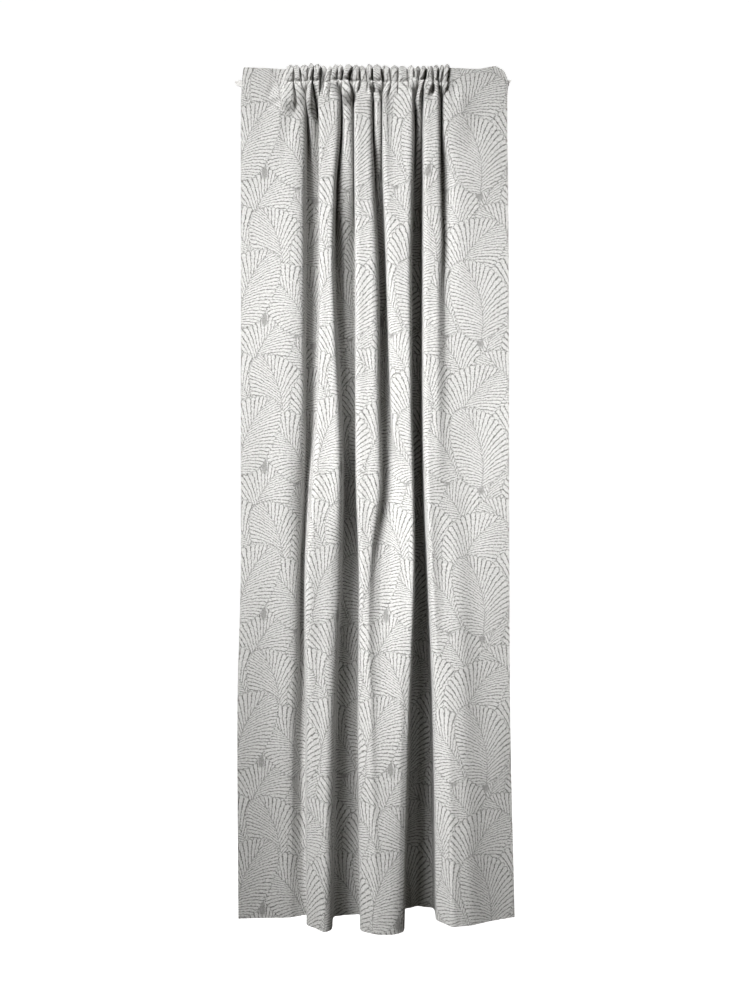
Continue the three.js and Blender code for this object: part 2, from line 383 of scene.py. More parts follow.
BACK_LEAVES = (
    Leaf(292, 384, 18, 88, 0.16),
    Leaf(176, 356, -34, 86, -0.16),
    Leaf(64, 378, 30, 86, 0.16),
    Leaf(352, 262, -30, 86, -0.16),
)
MIDDLE_LEAVES = (
    Leaf(112, 240, -14, 86, -0.16),
    Leaf(236, 222, 34, 88, 0.20),
)
FRONT_LEAVES = (
    Leaf(142, 92, -38, 86, -0.18),
    Leaf(22, 122, 22, 86, 0.18),
    Leaf(262, 82, -12, 88, -0.18),
)
OVAL_UP, OVAL_HALF = 4.0, 124.0  # a leaf's oval: how far up its middle is, and half its height
BEND_START = 0.12  # how far aside a leaf's bent midrib starts, for its length and bend
FINGER_PITCH = 7.0  # between two fingers where they leave the midrib, at the leaf's base
FINGER_GROWTH = 0.0016  # how much farther apart they are towards the tip, for each millimetre
FINGER_SPREAD = 380.0  # distance from the midrib at which two fingers are twice as far apart
FINGER_DROOP = 1200.0  # how slowly a finger arches back towards the base; less droops more
FINER_INSIDE = 0.13  # how much closer the fingers stand on the inside of a leaf's curve
FINGER_END = 26.0  # how round a finger's end is
RISE_REACH = 46.0  # how far out a finger has mostly levelled off
RISE_AT_BASE = 24.0  # how much a finger rises towards the tip on its way out, near the base
RISE_GAIN = 62.0  # how much more it does near the tip

# Where the line between two fingers starts and is full, from 0 in a finger to 0.5 in the line.
BETWEEN_EDGE = (0.29, 0.46)
# A leaf's midrib and rim: the distances at which each starts and is full, and how dark it is.
MIDRIB_EDGE, MIDRIB_DARK = (2.5, 0.5), 0.60
RIM_EDGE, RIM_DARK = (4.5, 1.0), 0.85
FAINTEST_LINE = 0.50  # how dark these lines are where they are faintest, as a share
FAINT_WHERE = (0.70, 0.38)  # the coarse noise at which they are faintest and darkest
LEAF_WAVER = 6.0  # how far a leaf's lines wander to and fro


class Patch(NamedTuple):
    """A bare patch of the ground weave, where no leaf lies."""

    across: float
    up: float
    turn: float  # degrees, leaning right
    long: float  # half its length
    wide: float  # half its width


PATCH_EDGE = (1.25, 0.75)  # where a patch starts and is full, as shares of its own size
LOWER_PATCHES = (
    Patch(50, 192, 18, 24, 13),
    Patch(138, 220, -30, 22, 12),
    Patch(340, 178, 8, 24, 12),
)
UPPER_PATCHES = (
    Patch(262, 396, -22, 22, 12),
    Patch(172, 420, 34, 22, 12),
    Patch(70, 30, 0, 22, 12),
)

# ---------------------------------------------------------------- the lining's hems, in millimetres

# The face cloth is turned over the lining this far, with a slightly soft edge.
SIDE_TURN = (38.0, 36.5)
HEM_TURN = (91.0, 89.5)
TURN_SHOWS = 0.55  # how much of the face cloth's reverse shows on the turned hems
HEM_STITCH = 86.0  # height of the row of stitches
STITCH_EDGE = (1.2, 0.4)  # how far from the row's middle a stitch starts and is full
STITCH_PITCH = 5.0
STITCH_END = (0.75, 0.65)  # where along that pitch a stitch is gone and where it is still full

# ---------------------------------------------------------------- the studio, in metres

SENSOR_WIDTH = 36.0  # in millimetres
CAMERA_HEIGHT = -1.275
SEEN_HEIGHT = 2.938  # what the camera sees of the heading's plane, from top to bottom

# Where each light stands, and the point that it faces.
KEY_LIGHT = ((-2.36, -4.07, 2.47), (0.96, 0.0, -1.7))
BACK_LIGHT = ((-1.6, 4.6, 1.6), (0.0, 0.0, -1.3))
LIGHT_WIDTH, LIGHT_HEIGHT = 3.2, 0.9
LIGHT_SPREAD = math.radians(40.0)
WARM_SKY = (1.0, 0.94, 0.74, 1.0)

FLOOR_HEIGHT = -2.66
BACKDROP_RADIUS = 8.0
BACKDROP_CURVE = 1.5  # radius of the bend between the floor and the wall
BACKDROP_TOP = 7.0
BACKDROP_SIDES = 64
BACKDROP_STEPS = 12  # of that bend


# ---------------------------------------------------------------- settings a user would change


class CurtainCloth(bpy.types.PropertyGroup):
    """Sizes of the cloth and its tape."""

    thickness: FloatProperty(
        name="Thickness",
        description="Face cloth, lining and what lies between them",
        default=2.0 * MM,
        min=1.0 * MM,
        max=3.0 * MM,
        unit="LENGTH",
    )
    tape_thickness: FloatProperty(
        name="Tape Thickness",
        description="Thickness of the heading tape",
        default=1.0 * MM,
        min=0.5 * MM,
        max=2.0 * MM,
        unit="LENGTH",
    )
    unevenness: FloatProperty(
        name="Unevenness",
        description="How far the cloth waves between its folds",
        default=3.0 * MM,
        min=0.0,
        max=8.0 * MM,
        unit="LENGTH",
    )


# What every colour property has in common.
COLOUR = {"subtype": "COLOR", "size": 3, "min": 0.0, "max": 1.0}


class CurtainColours(bpy.types.PropertyGroup):
    """Colours of the woven cloth, the lining and the tape."""

    finger: FloatVectorProperty(
        name="Leaf",
        description="Colour of the light fingers of the leaves",
        default=(0.570, 0.566, 0.554),
        **COLOUR,
    )
    line: FloatVectorProperty(
        name="Line",
        description="Colour of the lines between the fingers",
        default=(0.080, 0.078, 0.072),
        **COLOUR,
    )
    lining: FloatVectorProperty(
        name="Lining",
        description="Colour of the back of the curtain",
        default=(0.72, 0.71, 0.68),
        **COLOUR,
    )
    tape: FloatVectorProperty(
        name="Tape",
        description="Colour of the heading tape",
        default=(0.80, 0.79, 0.77),
        **COLOUR,
    )


class CurtainStudio(bpy.types.PropertyGroup):
    """The camera and the light."""

    distance: FloatProperty(
        name="Camera Distance",
        description="From the camera to the heading's plane",
        default=3.0,
        min=1.0,
        max=10.0,
        unit="LENGTH",
    )
    key_power: FloatProperty(
        name="Key Light",
        description="Power of the main light",
        default=72.0,
        min=0.0,
        max=1000.0,
        unit="POWER",
    )
    back_power: FloatProperty(
        name="Back Light",
        description="Power of the light behind the curtain",
        default=26.0,
        min=0.0,
        max=1000.0,
        unit="POWER",
    )
    sky: FloatProperty(
        name="Sky",
        description="Strength of the even light from all round",
        default=0.038,
        min=0.0,
        max=3.0,
    )


# ---------------------------------------------------------------- curves

NOISE_CELLS = 64


def smooth_step(value, start, end):
    """0 before start, 1 after end, and a smooth step between them."""
    t = np.clip((value - start) / (end - start), 0.0, 1.0)
    return t * t * (3.0 - 2.0 * t)


def value_noise(x, y, seed):
    """Smooth noise from -1 to 1 over a plane, with a feature about every unit."""
    grid = np.random.default_rng(seed).uniform(-1.0, 1.0, (NOISE_CELLS, NOISE_CELLS))
    column, row = np.floor(x).astype(int), np.floor(y).astype(int)
    across = smooth_step(x - column, 0.0, 1.0)
    up = smooth_step(y - row, 0.0, 1.0)

    def at(i, j):
        return grid[(column + i) % NOISE_CELLS, (row + j) % NOISE_CELLS]

    lower = at(0, 0) * (1 - across) + at(1, 0) * across
    upper = at(0, 1) * (1 - across) + at(1, 1) * across
    return lower * (1 - up) + upper * up


def fold_line_places(drop):
    """The place of every fold line at one drop, as rows of (across, behind)."""
    levels = np.array(LEVELS, float)
    tracks = np.array([(line.across, line.behind) for line in FOLD_LINES], float)
    inside = min(max(drop, levels[0]), levels[-1])
    i = min(int(np.searchsorted(levels, inside, side="right")) - 1, len(levels) - 2)
    before, after = max(i - 1, 0), min(i + 2, len(levels) - 1)
    span = levels[i + 1] - levels[i]
    t = (inside - levels[i]) / span
    rise = tracks[..., i + 1] - tracks[..., i]
    slope_in = (tracks[..., i + 1] - tracks[..., before]) / (levels[i + 1] - levels[before])
    slope_out = (tracks[..., after] - tracks[..., i]) / (levels[after] - levels[i])
    a = slope_in * span - rise
    b = rise - slope_out * span
    return tracks[..., i] + t * rise + t * (1 - t) * ((1 - t) * a + t * b)


def with_edges(places):
    """The fold lines, with a line between each two: a crisp edge where the flank is steep."""
    made = [places[0]]
    for before, after in zip(places, places[1:]):
        across, behind = after - before
        steep = smooth_step(abs(behind), *STEEP_DEPTH)
        steep = steep * smooth_step(abs(behind / across), *STEEP_FOLD)
        shoulder, valley = (before, after) if behind > 0 else (after, before)
        clear = min(EDGE_CLEAR / abs(across), 0.5)
        edge = shoulder + (valley - shoulder) * (1.0 - clear, EDGE_BEHIND)
        made += [(before + after) / 2 * (1.0 - steep) + edge * steep, after]
    return np.array(made)


def smooth_curve(points, steps=24):
    """A centripetal Catmull-Rom curve through the points."""
    ends = np.vstack([2 * points[0] - points[1], points, 2 * points[-1] - points[-2]])
    p0, p1, p2, p3 = ends[:-3], ends[1:-2], ends[2:-1], ends[3:]
    knots = np.sqrt(np.linalg.norm(np.diff(ends, axis=0), axis=1))[:, None]
    d0, d1, d2 = knots[:-2], knots[1:-1], knots[2:]
    leave = ((p1 - p0) / d0 - (p2 - p0) / (d0 + d1) + (p2 - p1) / d1) * d1
    reach = ((p2 - p1) / d1 - (p3 - p1) / (d1 + d2) + (p3 - p2) / d2) * d1
    t = np.linspace(0.0, 1.0, steps, endpoint=False)[None, :, None]
    square = (-3 * p1 + 3 * p2 - 2 * leave - reach)[:, None]
    cube = (2 * p1 - 2 * p2 + leave + reach)[:, None]
    curve = p1[:, None] + leave[:, None] * t + square * t**2 + cube * t**3
    return np.vstack([curve.reshape(-1, 2), points[-1:]])


def lengths_along(curve):
    """How far along a curve each of its points is."""
    return np.concatenate([[0.0], np.cumsum(np.linalg.norm(np.diff(curve, axis=0), axis=1))])


def halve_towards(low, high, is_low, steps=24):
    """The value between low and high where is_low turns false."""
    for _ in range(steps):
        middle = (low + high) / 2
        if is_low(middle):
            low = middle
        else:
            high = middle
    return middle


def fold_section(drop, cloth):
    """The place of each point of the cloth at one drop, where its whole width fits the folds."""
    places = fold_line_places(drop)

    def curve(depth):
        return smooth_curve(with_edges(places) * (1.0, depth))

    depth = halve_towards(*FOLD_DEPTHS, lambda d: lengths_along(curve(d))[-1] < FLAT_WIDTH)
    section = curve(depth)
    along = lengths_along(section)
    along *= FLAT_WIDTH / along[-1]
    return np.stack([np.interp(cloth, along, section[:, k]) for k in (0, 1)], axis=1)


# ---------------------------------------------------------------- the cloth's shape


def pleat_shape(width, cloth, gap, length):
    """Where a pleat's cloth stands at each length along it: (across, forward) from its valley."""
    deep = np.clip((cloth - width) / 2, SHALLOWEST_PLEAT, DEEPEST_PLEAT)
    gap = min(gap, WIDEST_GAP * width)
    corners = np.cumsum([0.0, gap / 2, deep, width - gap, deep, gap / 2])
    corners *= cloth / corners[-1]
    along = np.array([-corners[2], -corners[1], *corners, cloth + gap / 2, cloth + corners[2]])
    across = (-gap / 2, -gap / 2, 0, gap / 2, gap / 2, width - gap / 2, width - gap / 2, width)
    across = (*across, width + gap / 2, width + gap / 2)
    forward = (deep, 0, 0, 0, deep, deep, 0, 0, 0, deep)
    shifts = PLEAT_ROUNDING * np.linspace(-1.0, 1.0, 5)
    return [
        np.mean([np.interp(length + shift, along, values) for shift in shifts], axis=0)
        for values in (across, forward)
    ]


def pleats_at(cloth, gap, split):
    """How far each point of the gathered cloth stands past its place, to the side and forward.

    A third row says how near its pleat's middle each point is: 1 there, and 0 in the valleys.
    """
    made = np.zeros((3, len(cloth)))
    gathered = PLEAT_LINES[GATHERED[0] : GATHERED[1] + 1]
    for line, following in zip(gathered, gathered[1:]):
        length, width = following.cloth - line.cloth, following.across - line.across
        ends = (0.0, line.split, 1.0) if split and line.split else (0.0, 1.0)
        for start, end in zip(ends, ends[1:]):
            own = (cloth - line.cloth) - start * length
            mine = (own >= 0.0) & (own < (end - start) * length)
            part = end - start
            across, forward = pleat_shape(part * width, part * length, gap, own[mine])
            place = across / (part * width)
            made[:, mine] = across - own[mine] * width / length, forward, 4 * place * (1 - place)
    return made


def heading_lines(cloth, *names):
    """Columns of PLEAT_LINES, at each place on the cloth."""
    columns = [[getattr(line, name) for line in PLEAT_LINES] for name in names]
    return [np.interp(cloth, PLEAT_MARKS, column) for column in columns]


def wave_depth(cloth, drop, unevenness):
    """How far the small waves push each point of the cloth back."""
    slanted = cloth / SMALL_WAVE[0] + drop / SMALL_SLANT
    waves = WIDE_SHARE * value_noise(cloth / WIDE_WAVE[0], drop / WIDE_WAVE[1], WIDE_SEED)
    waves = waves + SMALL_SHARE * value_noise(slanted, drop / SMALL_WAVE[1], SMALL_SEED)
    return unevenness / MM * waves * smooth_step(drop, WAVES_GROW_FROM, WAVES_GROW_TO)


def crease_depth(cloth, drop):
    """How far the creases push each point of the cloth back."""
    pushed = np.zeros(np.broadcast(cloth, drop).shape)
    for crease in CREASES:
        turn = math.radians(crease.turn)
        right, down = cloth - crease.cloth, drop - crease.drop
        along = right * math.sin(turn) - down * math.cos(turn)
        aside = right * math.cos(turn) + down * math.sin(turn)
        fall = (2 * along / crease.long) ** 2 + (aside / crease.wide) ** 2
        pushed += crease.deep * np.exp(-fall)
    return pushed


def cloth_columns():
    """Places of the heading's columns on the flat cloth, closer together where it is gathered.

    Below the heading the mesh has only every second one.
    """
    ends = (0.0, *(PLEAT_LINES[i].cloth for i in GATHERED), FLAT_WIDTH)
    parts = [
        np.linspace(start, end, count, endpoint=False)
        for start, end, count in zip(ends, ends[1:], COLUMN_COUNTS)
    ]
    return np.concatenate([*parts, [FLAT_WIDTH]])


def cloth_rows():
    """Drops of the mesh's rows, closest together at the gather line."""
    parts = [
        np.linspace(start, end, count, endpoint=False)
        for start, end, count in zip(ROW_DROPS, (*ROW_DROPS[1:], DROP), ROW_COUNTS)
    ]
    return np.concatenate([*parts, [DROP]])


def cloth_middle(cloth, drops, unevenness):
    """The middle of the cloth's thickness, as rows by columns of points."""
    level_drops, fullness, gaps = np.array(HEADING_LEVELS).T
    gathered_at, lean, dip = heading_lines(cloth, "across", "lean", "dip")
    last = len(PLEAT_LINES) - 2
    owner = np.clip(np.searchsorted(PLEAT_MARKS, cloth, side="right") - 1, 0, last)
    fades = np.array([line.fades for line in PLEAT_LINES], float)[owner]
    scallop = pleats_at(cloth, gaps[0], split=True)[2]
    varied = value_noise(cloth / SAG_PITCH, np.full_like(cloth, 0.5), SAG_SEED)
    sag = RUFFLE_SAG[0] * scallop + RUFFLE_SAG[1] * varied
    rows = []
    for drop in drops:
        folds = fold_section(drop, cloth)
        grown = smooth_step(drop, FOLDS_GROW_FROM, FOLDS_GROW_TO)
        full = np.interp(drop - sag, level_drops, fullness)
        gap = np.interp(drop, level_drops, gaps)
        lasting = 1.0 - smooth_step(drop, fades - PLEAT_FADE, fades)
        pleat = pleats_at(cloth, gap, split=False)[:2]
        pleated = smooth_step(drop - sag, RUFFLE_FROM, RUFFLE_TO)
        loops = pleats_at(cloth, gap, split=True)[:2]
        loops[1] = loops[1] * (1 - RUFFLE_SWELL) + pleat[1] * RUFFLE_SWELL
        sideways, forward = loops * (1 - pleated) + pleat * pleated
        ruffle = max(0.0, 1.0 - drop / GATHER_DROP)
        across = (gathered_at + lean * ruffle) * (1 - grown) + folds[:, 0] * grown
        across = across + sideways * lasting
        behind = folds[:, 1] * grown - forward * full * lasting
        down = drop + (dip - SCALLOP_CUT * scallop) * ruffle**2
        rows.append(np.stack([across, behind, -down], axis=1))
    points = np.array(rows)
    right, down = np.broadcast_arrays(cloth[None, :], drops[:, None])
    points[..., 1] += wave_depth(right, down, unevenness) + crease_depth(right, down)
    return points


def unit(vectors):
    """The vectors at length 1."""
    return vectors / np.maximum(np.linalg.norm(vectors, axis=-1, keepdims=True), 1e-9)


def back_directions(points):
    """The direction that leaves the back of the cloth at each of its points."""
    along = np.gradient(points, axis=1)
    down = np.gradient(points, axis=0)
    return unit(np.cross(along, down))


# ---------------------------------------------------------------- meshes

# The bake map holds the front at its left, the back at its right, and the edges in narrow bands.
FACE_SHARE = 0.80  # how much of the map's width the front takes
BACK_START = 0.82
EDGE_BAND = 0.012  # height of the band of the top edge, and of the bottom edge's
SIDE_BANDS = ((0.803, 0.807), (0.811, 0.815))  # from where to where each side edge's band goes
SHARP_ANGLE = math.radians(78.0)


def face_loops(row_count, column_count, fine_rows):
    """The faces of one side of a sheet, as tuples of places in its grid of points.

    Below fine_rows only every second column is used.
    """

    def at(row, column):
        return row * column_count + column

    faces = []
    for row in range(row_count - 1):
        step = 1 if row < fine_rows else 2
        top_step = 1 if row <= fine_rows else 2
        for left in range(0, column_count - 1, step):
            right = left + step
            top = [at(row, column) for column in range(right, left - 1, -top_step)]
            faces.append((*top, at(row + 1, left), at(row + 1, right)))
    return faces


def rim_loops(row_count, column_count, fine_rows):
    """The faces of a sheet's top, bottom, left and right edges, as a list for each."""
    layer = row_count * column_count
    index = np.arange(layer).reshape(row_count, column_count)
    last_step = 1 if fine_rows >= row_count else 2
    rims = (index[0], index[-1, ::-last_step], index[::-1, 0], index[:, -1])
    return [
        [(a, b, b + layer, a + layer) for a, b in zip(rim.tolist(), rim[1:].tolist())]
        for rim in rims
    ]


def bake_places(flat, corners, layer, rims):
    """The place on the bake map of each corner of a sheet's faces. The rims' corners come last."""
    share = (flat - flat.min(0)) / (flat.max(0) - flat.min(0))
    share[:, 1] = 2 * EDGE_BAND + share[:, 1] * (1 - 4 * EDGE_BAND)
    front = share * (FACE_SHARE, 1.0)
    back = share * (1 - BACK_START, 1.0) + (BACK_START, 0.0)
    places = np.concatenate([front, back])[corners]
    on_back = (corners >= layer).astype(float)
    start = len(corners) - 4 * sum(len(rim) for rim in rims)
    for side, rim in enumerate(rims):
        end = start + 4 * len(rim)
        if side < 2:
            base = 1.0 - EDGE_BAND if side == 0 else 0.0
            places[start:end, 0] = front[corners[start:end] % layer, 0]
            places[start:end, 1] = base + EDGE_BAND * on_back[start:end]
        else:
            low, high = SIDE_BANDS[side - 2]
            places[start:end, 0] = low + (high - low) * on_back[start:end]
        start = end
    return places


def sheet_mesh(name, front, back, across, up, fine_rows=None):
    """A closed sheet between two grids of points, with its flat map and its bake map.

    across and up are the places of the columns and rows on the flat sheet, in metres. Below
    fine_rows only every second column is used.
    """
    row_count, column_count = front.shape[:2]
    fine_rows = row_count if fine_rows is None else fine_rows
    layer = row_count * column_count
    front_faces = face_loops(row_count, column_count, fine_rows)
    back_faces = [tuple(layer + place for place in reversed(face)) for face in front_faces]
    rims = rim_loops(row_count, column_count, fine_rows)
    faces = front_faces + back_faces + [face for rim in rims for face in rim]
    corners = np.array([place for face in faces for place in face])
    used = np.unique(corners)
    place_of = np.full(2 * layer, -1)
    place_of[used] = np.arange(len(used))
    points = np.concatenate([front.reshape(-1, 3), back.reshape(-1, 3)])[used] * MM
    mesh = bpy.data.meshes.new(name)
    mesh.from_pydata(points.tolist(), [], [place_of[list(face)].tolist() for face in faces])

    flat_across, flat_up = np.meshgrid(across, up)
    flat = np.stack([flat_across, flat_up], axis=-1).reshape(-1, 2)
    maps = {"FlatCloth": flat[corners % layer], "OFBake": bake_places(flat, corners, layer, rims)}
    for map_name, values in maps.items():
        uv_map = mesh.uv_layers.new(name=map_name)
        uv_map.data.foreach_set("uv", values.astype(np.float32).ravel())

    mesh.polygons.foreach_set("use_smooth", np.ones(len(faces), bool))
    backing = np.zeros(len(faces), np.int32)
    backing[len(front_faces) : len(front_faces) + len(back_faces)] = 1
    mesh.polygons.foreach_set("material_index", backing)
    mesh.set_sharp_from_angle(angle=SHARP_ANGLE)
    mesh.validate()
    mesh.update()
    return mesh


def add_piece(name, mesh, materials, node):
    """A piece of the curtain that rides on the frame and stands for one of its solids."""
    piece = bpy.data.objects.new(name, mesh)
    bpy.context.scene.collection.objects.link(piece)
    for material in materials:
        mesh.materials.append(material)
    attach(piece, "root")
    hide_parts(node)
    return piece


# ---------------------------------------------------------------- shader maths


class Wire:
    """One output of a shader node. Arithmetic on wires adds the Math nodes that work it out."""

    def __init__(self, tree, socket=None):
        self.tree = tree
        self.socket = socket

    def node(self, kind, settings=None, inputs=None, output=0):
        """Adds a node: its settings are set first, then the values or links of its inputs."""
        made = self.tree.nodes.new("ShaderNode" + kind)
        for name, value in (settings or {}).items():
            setattr(made, name, value)
        for name, value in (inputs or {}).items():
            if isinstance(value, Wire):
                self.tree.links.new(value.socket, made.inputs[name])
            else:
                made.inputs[name].default_value = value
        return Wire(self.tree, made.outputs[output])

    def other(self, output):
        """Another output of the node that this one comes from."""
        return Wire(self.tree, self.socket.node.outputs[output])

    def math(self, operation, *values, clamp=False):
        settings = {"operation": operation, "use_clamp": clamp}
        return self.node("Math", settings, dict(enumerate(values)))

    def one(self, operation):
        """A Math node of one value."""
        return self.math(operation, self)

    def vector(self, operation, *values, output="Vector"):
        return self.node("VectorMath", {"operation": operation}, dict(enumerate(values)), output)

    def stretched(self, factor):
        """A vector times a number."""
        return self.node("VectorMath", {"operation": "SCALE"}, {0: self, "Scale": factor})

    def noise(self, scale, detail, output=0):
        """Smooth noise over the places that this vector gives. 1 / scale is a feature's size."""
        inputs = {"Vector": self, "Scale": scale, "Detail": detail}
        return self.node("TexNoise", None, inputs, output)

    def bands(self, direction, scale, distortion):
        """Soft even bands over the places that this vector gives."""
        inputs = {"Vector": self, "Scale": scale, "Distortion": distortion}
        return self.node("TexWave", {"bands_direction": direction}, inputs)

    def __add__(self, value):
        return self.math("ADD", self, value)

    __radd__ = __add__

    def __sub__(self, value):
        return self.math("SUBTRACT", self, value)

    def __rsub__(self, value):
        return self.math("SUBTRACT", value, self)

    def __mul__(self, value):
        return self.math("MULTIPLY", self, value)

    __rmul__ = __mul__

    def __truediv__(self, value):
        return self.math("DIVIDE", self, value)

    def __abs__(self):
        return self.math("ABSOLUTE", self)

    def __gt__(self, value):
        return self.math("GREATER_THAN", self, value)

    def least(self, value):
        return self.math("MINIMUM", self, value)

    def most(self, value):
        return self.math("MAXIMUM", self, value)

    def scaled(self, gain, offset, clamp=False):
        """gain times the value, plus offset."""
        return self.math("MULTIPLY_ADD", self, gain, offset, clamp=clamp)

    def ramp(self, start, end):
        """0 at start, 1 at end, straight between them and level past them."""
        gain = 1.0 / (end - start)
        return self.scaled(gain, -start * gain, clamp=True)

    def blend(self, low, high):
        """The number low where this is 0, and high where it is 1."""
        return self.node("Mix", None, {"Factor": self, "A": low, "B": high})

    def tint(self, low, high):
        """The colour low where this is 0, and high where it is 1."""
        inputs = {"Factor": self, 6: opaque(low), 7: opaque(high)}
        return self.node("Mix", {"data_type": "RGBA"}, inputs, output=2)


def opaque(colour):
    """A colour's four numbers, or its wire as it is."""
    return colour if isinstance(colour, Wire) else (*colour, 1.0)


def darker(colour, share):
    """The colour at this share of its brightness."""
    return tuple(share * value for value in colour)


def new_material(name):
    """An empty node material, and a wire to draw its nodes with."""
    material = bpy.data.materials.new(name)
    material.use_nodes = True
    material.node_tree.nodes.clear()
    return material, Wire(material.node_tree)


def finish_cloth(wire, colour, roughness, height, bump_distance, sheen):
    """The shader of a matt cloth, and the material's output."""
    bump = wire.node("Bump", None, {"Strength": 1.0, "Distance": bump_distance, "Height": height})
    cloth = wire.node(
        "BsdfPrincipled",
        None,
        {
            "Base Color": colour,
            "Roughness": roughness,
            "Normal": bump,
            "Sheen Weight": sheen,
            "Sheen Roughness": 0.5,
            "Specular IOR Level": 0.25,
        },
    )
    end_material(wire, cloth)


def end_material(wire, shader):
    """Joins the shader to the material's output."""
    output = wire.tree.nodes.new("ShaderNodeOutputMaterial")
    wire.tree.links.new(shader.socket, output.inputs["Surface"])


def flat_place(wire):
    """A point's place on the flat sheet in millimetres, as a vector."""
    return wire.node("UVMap", {"uv_map": "FlatCloth"}).stretched(1.0 / MM)


def repeat_axes(wire, place, across, up, turn):
    """Distances along and to the right of a motif's own axis, in the nearest repeat."""
    angle = math.radians(turn)
    half_repeat = (REPEAT[0] / 2, REPEAT[1] / 2, 1.0)
    lowest = tuple(-value for value in half_repeat)
    offset = wire.vector("SUBTRACT", place, (across, up, 0.0))
    own = wire.vector("WRAP", offset, half_repeat, lowest)
    along = wire.vector("DOT_PRODUCT", own, (math.sin(angle), math.cos(angle), 0), output="Value")
    aside = wire.vector("DOT_PRODUCT", own, (math.cos(angle), -math.sin(angle), 0), output="Value")
    return along, aside


def patch_over(wire, tone, place, patch):
    """The tone of the cloth with a bare patch of its ground."""
    along, aside = repeat_axes(wire, place, patch.across, patch.up, patch.turn)
    along = along * (1.0 / patch.long)
    # The patch is pointed at its upper end.
    aside = aside * (1.0 / patch.wide) * along.scaled(0.5, 1.4)
    radius = (along * along + aside * aside).one("SQRT")
    return radius.ramp(*PATCH_EDGE).blend(tone, GROUND_TONE)


def leaf_over(wire, tone, place, leaf, broken):
    """The tone of the cloth with one more leaf of the repeat laid over it."""
    along, aside = repeat_axes(wire, place, leaf.across, leaf.up, leaf.turn)
    start = BEND_START * leaf.bend * LEAF_LONG
    aside = aside + (along * along).scaled(-2.0 * leaf.bend / LEAF_LONG, start)
    distance = abs(aside)
    # A finger leaves the midrib steeply and levels off on its way out, where it is wider.
    levelled = 1.0 - (distance * (-1.0 / RISE_REACH)).one("EXPONENT")
    rise = along.scaled(RISE_GAIN / LEAF_LONG, RISE_AT_BASE + RISE_GAIN / 2) * levelled
    droop = distance * distance * (1.0 / FINGER_DROOP)
    root = (along + LEAF_LONG / 2 - rise + droop) / distance.scaled(1.0 / FINGER_SPREAD, 1.0)
    count = root.scaled(-FINGER_GROWTH / FINGER_PITCH, 1.0 / FINGER_PITCH) * root
    side = aside > 0.0
    finer = math.copysign(FINER_INSIDE, leaf.bend)
    count = count * side.scaled(2.0 * finer, 1.0 - finer)
    middle = abs((side * 0.5 + count).one("FRACT") - 0.5)
    upright = along.scaled(1.0 / OVAL_HALF, -OVAL_UP / OVAL_HALF)
    sideways = distance * (1.0 / leaf.half)
    radius = (upright * upright + sideways * sideways).one("SQRT")
    inset = radius.scaled(-leaf.half, leaf.half) - (middle * middle) * FINGER_END
    covers = inset.ramp(-1.0, 1.0)
    between = middle.ramp(*BETWEEN_EDGE)
    midrib = distance.ramp(*MIDRIB_EDGE) * MIDRIB_DARK
    rim = inset.ramp(*RIM_EDGE) * RIM_DARK
    dark = between.most(midrib).most(rim) * broken
    return covers.blend(tone, 1.0 - dark)


def leaf_cloth_material(colours):
    """A jacquard of overlapping palm leaves."""
    material, wire = new_material("leaf_jacquard")
    place = flat_place(wire)
    wobble = wire.vector("SUBTRACT", place.noise(0.09, 1.0, "Color"), (0.5, 0.5, 0.5))
    warped = wire.vector("ADD", place, wobble.stretched(LEAF_WAVER))
    fleck = place.noise(0.32, 2.0)
    coarse = place.noise(0.17, 1.0)
    broken = coarse.ramp(*FAINT_WHERE).scaled(1.0 - FAINTEST_LINE, FAINTEST_LINE)
    tone = GROUND_TONE
    for leaf in BACK_LEAVES:
        tone = leaf_over(wire, tone, warped, leaf, broken)
    for patches, leaves in ((LOWER_PATCHES, MIDDLE_LEAVES), (UPPER_PATCHES, FRONT_LEAVES)):
        for patch in patches:
            tone = patch_over(wire, tone, warped, patch)
        for leaf in leaves:
            tone = leaf_over(wire, tone, warped, leaf, broken)
    cloudy = place.noise(0.012, 2.0)
    speckle = fleck * 1.7 + coarse.scaled(0.9, -0.37)
    shade = (tone * speckle).scaled(1.0, 0.0, clamp=True)
    colour = shade.tint(tuple(colours.line), tuple(colours.finger))
    roughness = tone.scaled(-0.12, 0.86) + cloudy * 0.06
    weave = wire.vector("MULTIPLY", place, (1.0, 0.45, 1.0)).noise(1.3, 2.0)
    height = weave * 0.5 + fleck * 0.3
    finish_cloth(wire, colour, roughness, height, 0.6 * MM, 0.15)
    return material


def lining_material(colours):
    """A plain lining, with the face cloth turned over it at the sides and the hem."""
    material, wire = new_material("plain_lining")
    place = flat_place(wire)
    axes = wire.node("SeparateXYZ", None, {"Vector": place})
    across, up = axes, axes.other("Y")
    side = across.least(FLAT_WIDTH - across)
    turned = side.ramp(*SIDE_TURN).most(up.ramp(*HEM_TURN))
    stitch = abs(up - HEM_STITCH).ramp(*STITCH_EDGE)
    dashes = (across * (1.0 / STITCH_PITCH)).one("FRACT").ramp(*STITCH_END)
    warp = place.bands("X", 0.5, 0.4)
    weft = place.bands("Y", 0.5, 0.4)
    slub = place.noise(0.2, 3.0)
    cloudy = place.noise(0.01, 2.0)
    plain = slub.tint(darker(colours.lining, 0.88), tuple(colours.lining))
    reverse = slub.tint(tuple(colours.line), tuple(colours.finger))
    colour = (turned * TURN_SHOWS).tint(plain, reverse)
    height = warp * 0.25 + weft * 0.25 + turned * 1.4 - stitch * dashes
    finish_cloth(wire, colour, cloudy.scaled(0.1, 0.8), height, 0.5 * MM, 0.1)
    return material


